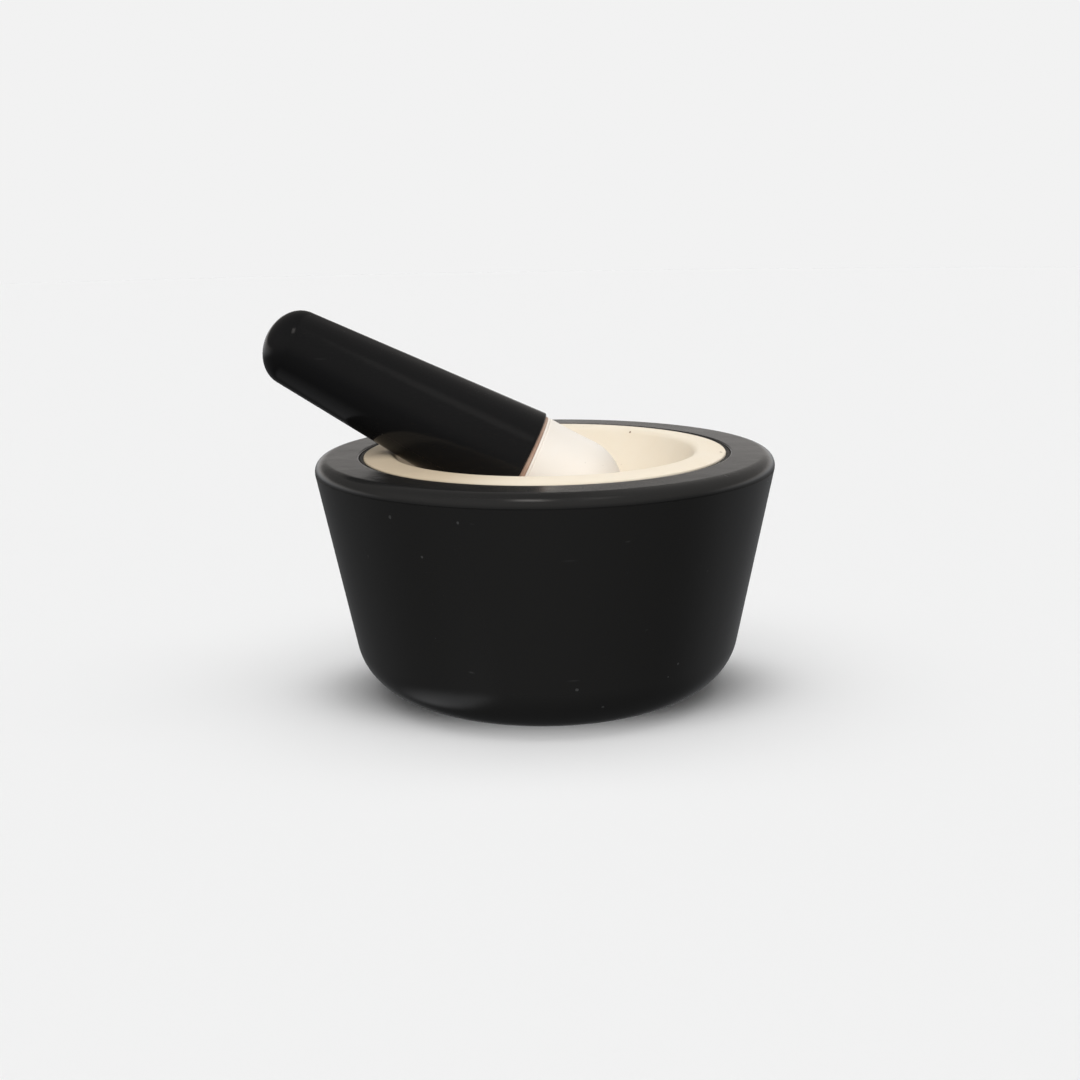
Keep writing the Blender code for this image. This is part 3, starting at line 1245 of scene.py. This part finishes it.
@dataclass
class Studio:
    """Pale floor, even ground, soft light from above, and a dim surround for the gloss to mirror."""

    ground: float = 0.887
    ambient: float = 0.06
    floor_radius: float = 4.0
    horizon: float = 0.74
    zenith: float = 0.15
    zenith_right: float = 0.32
    near_sky: float = 0.28
    near_low: float = 0.05
    below: float = 0.17
    below_left: float = 0.11
    deep: float = 0.40
    window_height: float = 0.86
    panes: tuple[tuple[float, float], ...] = ((-0.09, 3.2), (0.33, 0.5))
    pane_width: float = 0.09
    warm: Colour = (1.0, 0.955, 0.915)
    cool: Colour = (0.97, 0.98, 1.0)
    floor_light: float = 0.94
    fan_weights: tuple[float, ...] = (0.45, 0.8, 1.0, 1.1, 1.0, 0.8, 0.45)
    fan_step: float = 11.5
    fan_spread: float = 40.0
    card_radii: tuple[float, float] = (70.0 * MM, 42.0 * MM)
    card_place: tuple[float, float, float] = (0.0, -8.2 * MM, 34.2 * MM)
    lamps: tuple[Lamp, ...] = (
        Lamp("key_light", Falls.OBJECT, 0.77, 60.0, (0.1, 0.45, -0.88)),
        Lamp("back_light", Falls.OBJECT, 0.60, 36.0, (-0.16, -0.88, -0.44)),
        Lamp("fill_light", Falls.OBJECT, 0.46, 100.0, (0.1, 1.0, -0.25)),
    )

    def fan(self) -> list[Lamp]:
        """A fan of lamps across the floor, for a shadow that is soft to both sides.

        Returns:
            The lamps, which together light the floor evenly.
        """
        lamps = []
        middle = (len(self.fan_weights) - 1) / 2
        for index, weight in enumerate(self.fan_weights):
            tilt = math.radians((index - middle) * self.fan_step)
            towards = Vector((math.sin(tilt), 0.0, -math.cos(tilt)))
            strength = self.floor_light * weight / sum(self.fan_weights) / -towards.z
            name = f"floor_light_{index}"
            lamps.append(Lamp(name, Falls.FLOOR, strength, self.fan_spread, tuple(towards)))
        return lamps

    def floor(self) -> bpy.types.Object:
        """A pale round floor, as bright as the ground behind it.

        Returns:
            The floor.
        """
        shape = bmesh.new()
        bmesh.ops.create_circle(shape, cap_ends=True, segments=96, radius=self.floor_radius)
        floor = placed("floor", shape)
        material = bpy.data.materials.new("pale_floor")
        material.use_nodes = True
        shader = material.node_tree.nodes["Principled BSDF"]
        shader.inputs["Base Color"].default_value = (self.ground, self.ground, self.ground, 1.0)
        shader.inputs["Roughness"].default_value = 1.0
        shader.inputs["Specular IOR Level"].default_value = 0.0
        floor.data.materials.append(material)
        floor.visible_glossy = False
        floor.visible_diffuse = False
        floor.visible_shadow = False
        return floor

    def card(self) -> bpy.types.Object:
        """A flat oval card, hidden in the mortar, that gives the floor its soft flat shadow.

        Returns:
            The card.
        """
        shape = bmesh.new()
        bmesh.ops.create_circle(shape, cap_ends=True, segments=96, radius=1.0)
        bmesh.ops.scale(shape, vec=(*self.card_radii, 1.0), verts=shape.verts)
        bmesh.ops.translate(shape, vec=self.card_place, verts=shape.verts)
        card = placed("shade_card", shape)
        card.visible_camera = False
        card.visible_glossy = False
        card.visible_diffuse = False
        card.visible_transmission = False
        card.data.materials.append(bpy.data.materials["pale_floor"])
        return card

    def mirrored(self, graph: Graph, towards: bpy.types.NodeSocket) -> bpy.types.NodeSocket:
        """How bright the surround is to reflections, by direction.

        The ranges are of the direction's own parts: across is X, along is Y away from the camera,
        and up is Z, each from -1 to 1.

        Args:
            graph: The world's graph.
            towards: The direction.

        Returns:
            The brightness.
        """
        parts = graph.add("ShaderNodeSeparateXYZ", {0: towards})
        across, along, up = parts.outputs[0], parts.outputs[1], parts.outputs[2]
        overhead = graph.span(across, 0.06, 0.22, self.zenith, self.zenith_right)
        above = graph.span(up, 0.12, 0.20, self.horizon, overhead)
        left_low = graph.span(across, -0.5, 0.0, self.below_left, self.below)
        under = graph.span(up, -0.14, 0.05, left_low, self.horizon)
        under = graph.math("MULTIPLY", under, graph.span(up, -0.80, -0.40, 0.35, 1.0))
        far = graph.math("MINIMUM", above, under)
        near_up = graph.span(up, 0.45, 1.0, self.near_sky, overhead)
        near = graph.math("MINIMUM", near_up, graph.span(up, -0.25, 0.35, self.near_low, self.near_sky))
        behind = graph.span(along, -0.30, 0.35, 0.0, 1.0)
        level = graph.span(behind, 0.0, 1.0, near, far, smooth=False)
        deep = graph.span(up, -0.82, -0.62, self.deep, 0.0)
        deep = graph.math("MULTIPLY", deep, graph.span(across, -0.50, -0.38, 1.0, 0.0))
        level = graph.math("ADD", level, deep)
        edge = self.pane_width
        glass: Value = 0.0  # the bright panes of a window overhead
        for pane, strength in self.panes:
            aside = graph.math("ABSOLUTE", graph.math("SUBTRACT", across, pane))
            glass = graph.math("ADD", glass, graph.span(aside, edge * 0.7, edge * 1.2, strength, 0.0))
        raised = graph.math("ABSOLUTE", graph.math("SUBTRACT", up, self.window_height))
        band = graph.span(raised, edge * 0.5, edge, 1.0, 0.0)
        front = graph.span(along, -0.4, -0.15, 1.0, 0.0)
        window = graph.math("MULTIPLY", graph.math("MULTIPLY", glass, band), front)
        return graph.math("ADD", level, window)

    def surround(self) -> None:
        """The world: flat behind the object, even for soft light, and shaded for reflections."""
        world = bpy.data.worlds.new("studio")
        bpy.context.scene.world = world
        world.use_nodes = True
        world.cycles.sampling_method = "NONE"
        graph = Graph(world.node_tree)
        ground = world.node_tree.nodes["Background"]
        path = graph.add("ShaderNodeLightPath")
        towards = graph.add("ShaderNodeTexCoord").outputs["Generated"]
        glossy = path.outputs["Is Glossy Ray"]
        height = graph.add("ShaderNodeSeparateXYZ", {0: towards}).outputs[2]
        tint = graph.blend(graph.span(height, 0.0, 0.12, 0.0, 1.0), self.cool, self.warm)
        unseen = graph.add(
            "ShaderNodeMix",
            {"Factor": glossy, "A": self.ambient, "B": self.mirrored(graph, towards)},
        )
        seen = graph.add(
            "ShaderNodeMix",
            {"Factor": path.outputs["Is Camera Ray"], "A": unseen.outputs[0], "B": self.ground},
        )
        graph.feed(ground.inputs["Strength"], seen.outputs[0])
        graph.feed(ground.inputs["Color"], graph.blend(glossy, (1.0, 1.0, 1.0), tint))

    def build(self) -> None:
        """Make the studio."""
        floor = self.floor()
        card = self.card()
        self.surround()
        for lamp in (*self.lamps, *self.fan()):
            lamp.build(floor, card)
        bpy.context.scene.view_settings.view_transform = "Standard"


@dataclass
class Camera:
    """A still camera a little above the rim, looking along +Y."""

    lens: float = 44.5
    distance: float = 450.0 * MM
    elevation: float = 14.38
    aim_height: float = 39.25 * MM
    roll: float = -0.885
    shift: tuple[float, float] = (-0.0059, 0.0237)

    def build(self) -> None:
        """Place the camera and make it the scene's."""
        lens = bpy.data.cameras.new("camera")
        lens.lens = self.lens
        lens.shift_x, lens.shift_y = self.shift
        lens.clip_start = 0.01
        lens.clip_end = 50.0
        camera = bpy.data.objects.new("camera", lens)
        tilt = math.radians(self.elevation)
        height = self.aim_height + self.distance * math.sin(tilt)
        place = Vector((0.0, -self.distance * math.cos(tilt), height))
        turn = Matrix.Rotation(math.radians(90.0 - self.elevation), 4, "X")
        turn = turn @ Matrix.Rotation(math.radians(self.roll), 4, "Z")
        camera.matrix_world = Matrix.Translation(place) @ turn
        bpy.context.scene.collection.objects.link(camera)
        bpy.context.scene.camera = camera


def main() -> None:
    """Build the mortar, the pestle and the studio."""
    logging.basicConfig(level=logging.INFO, format="%(name)s: %(message)s")
    Mortar().build()
    Pestle().build()
    Studio().build()
    Camera().build()


if __name__ == "__main__":
    main()
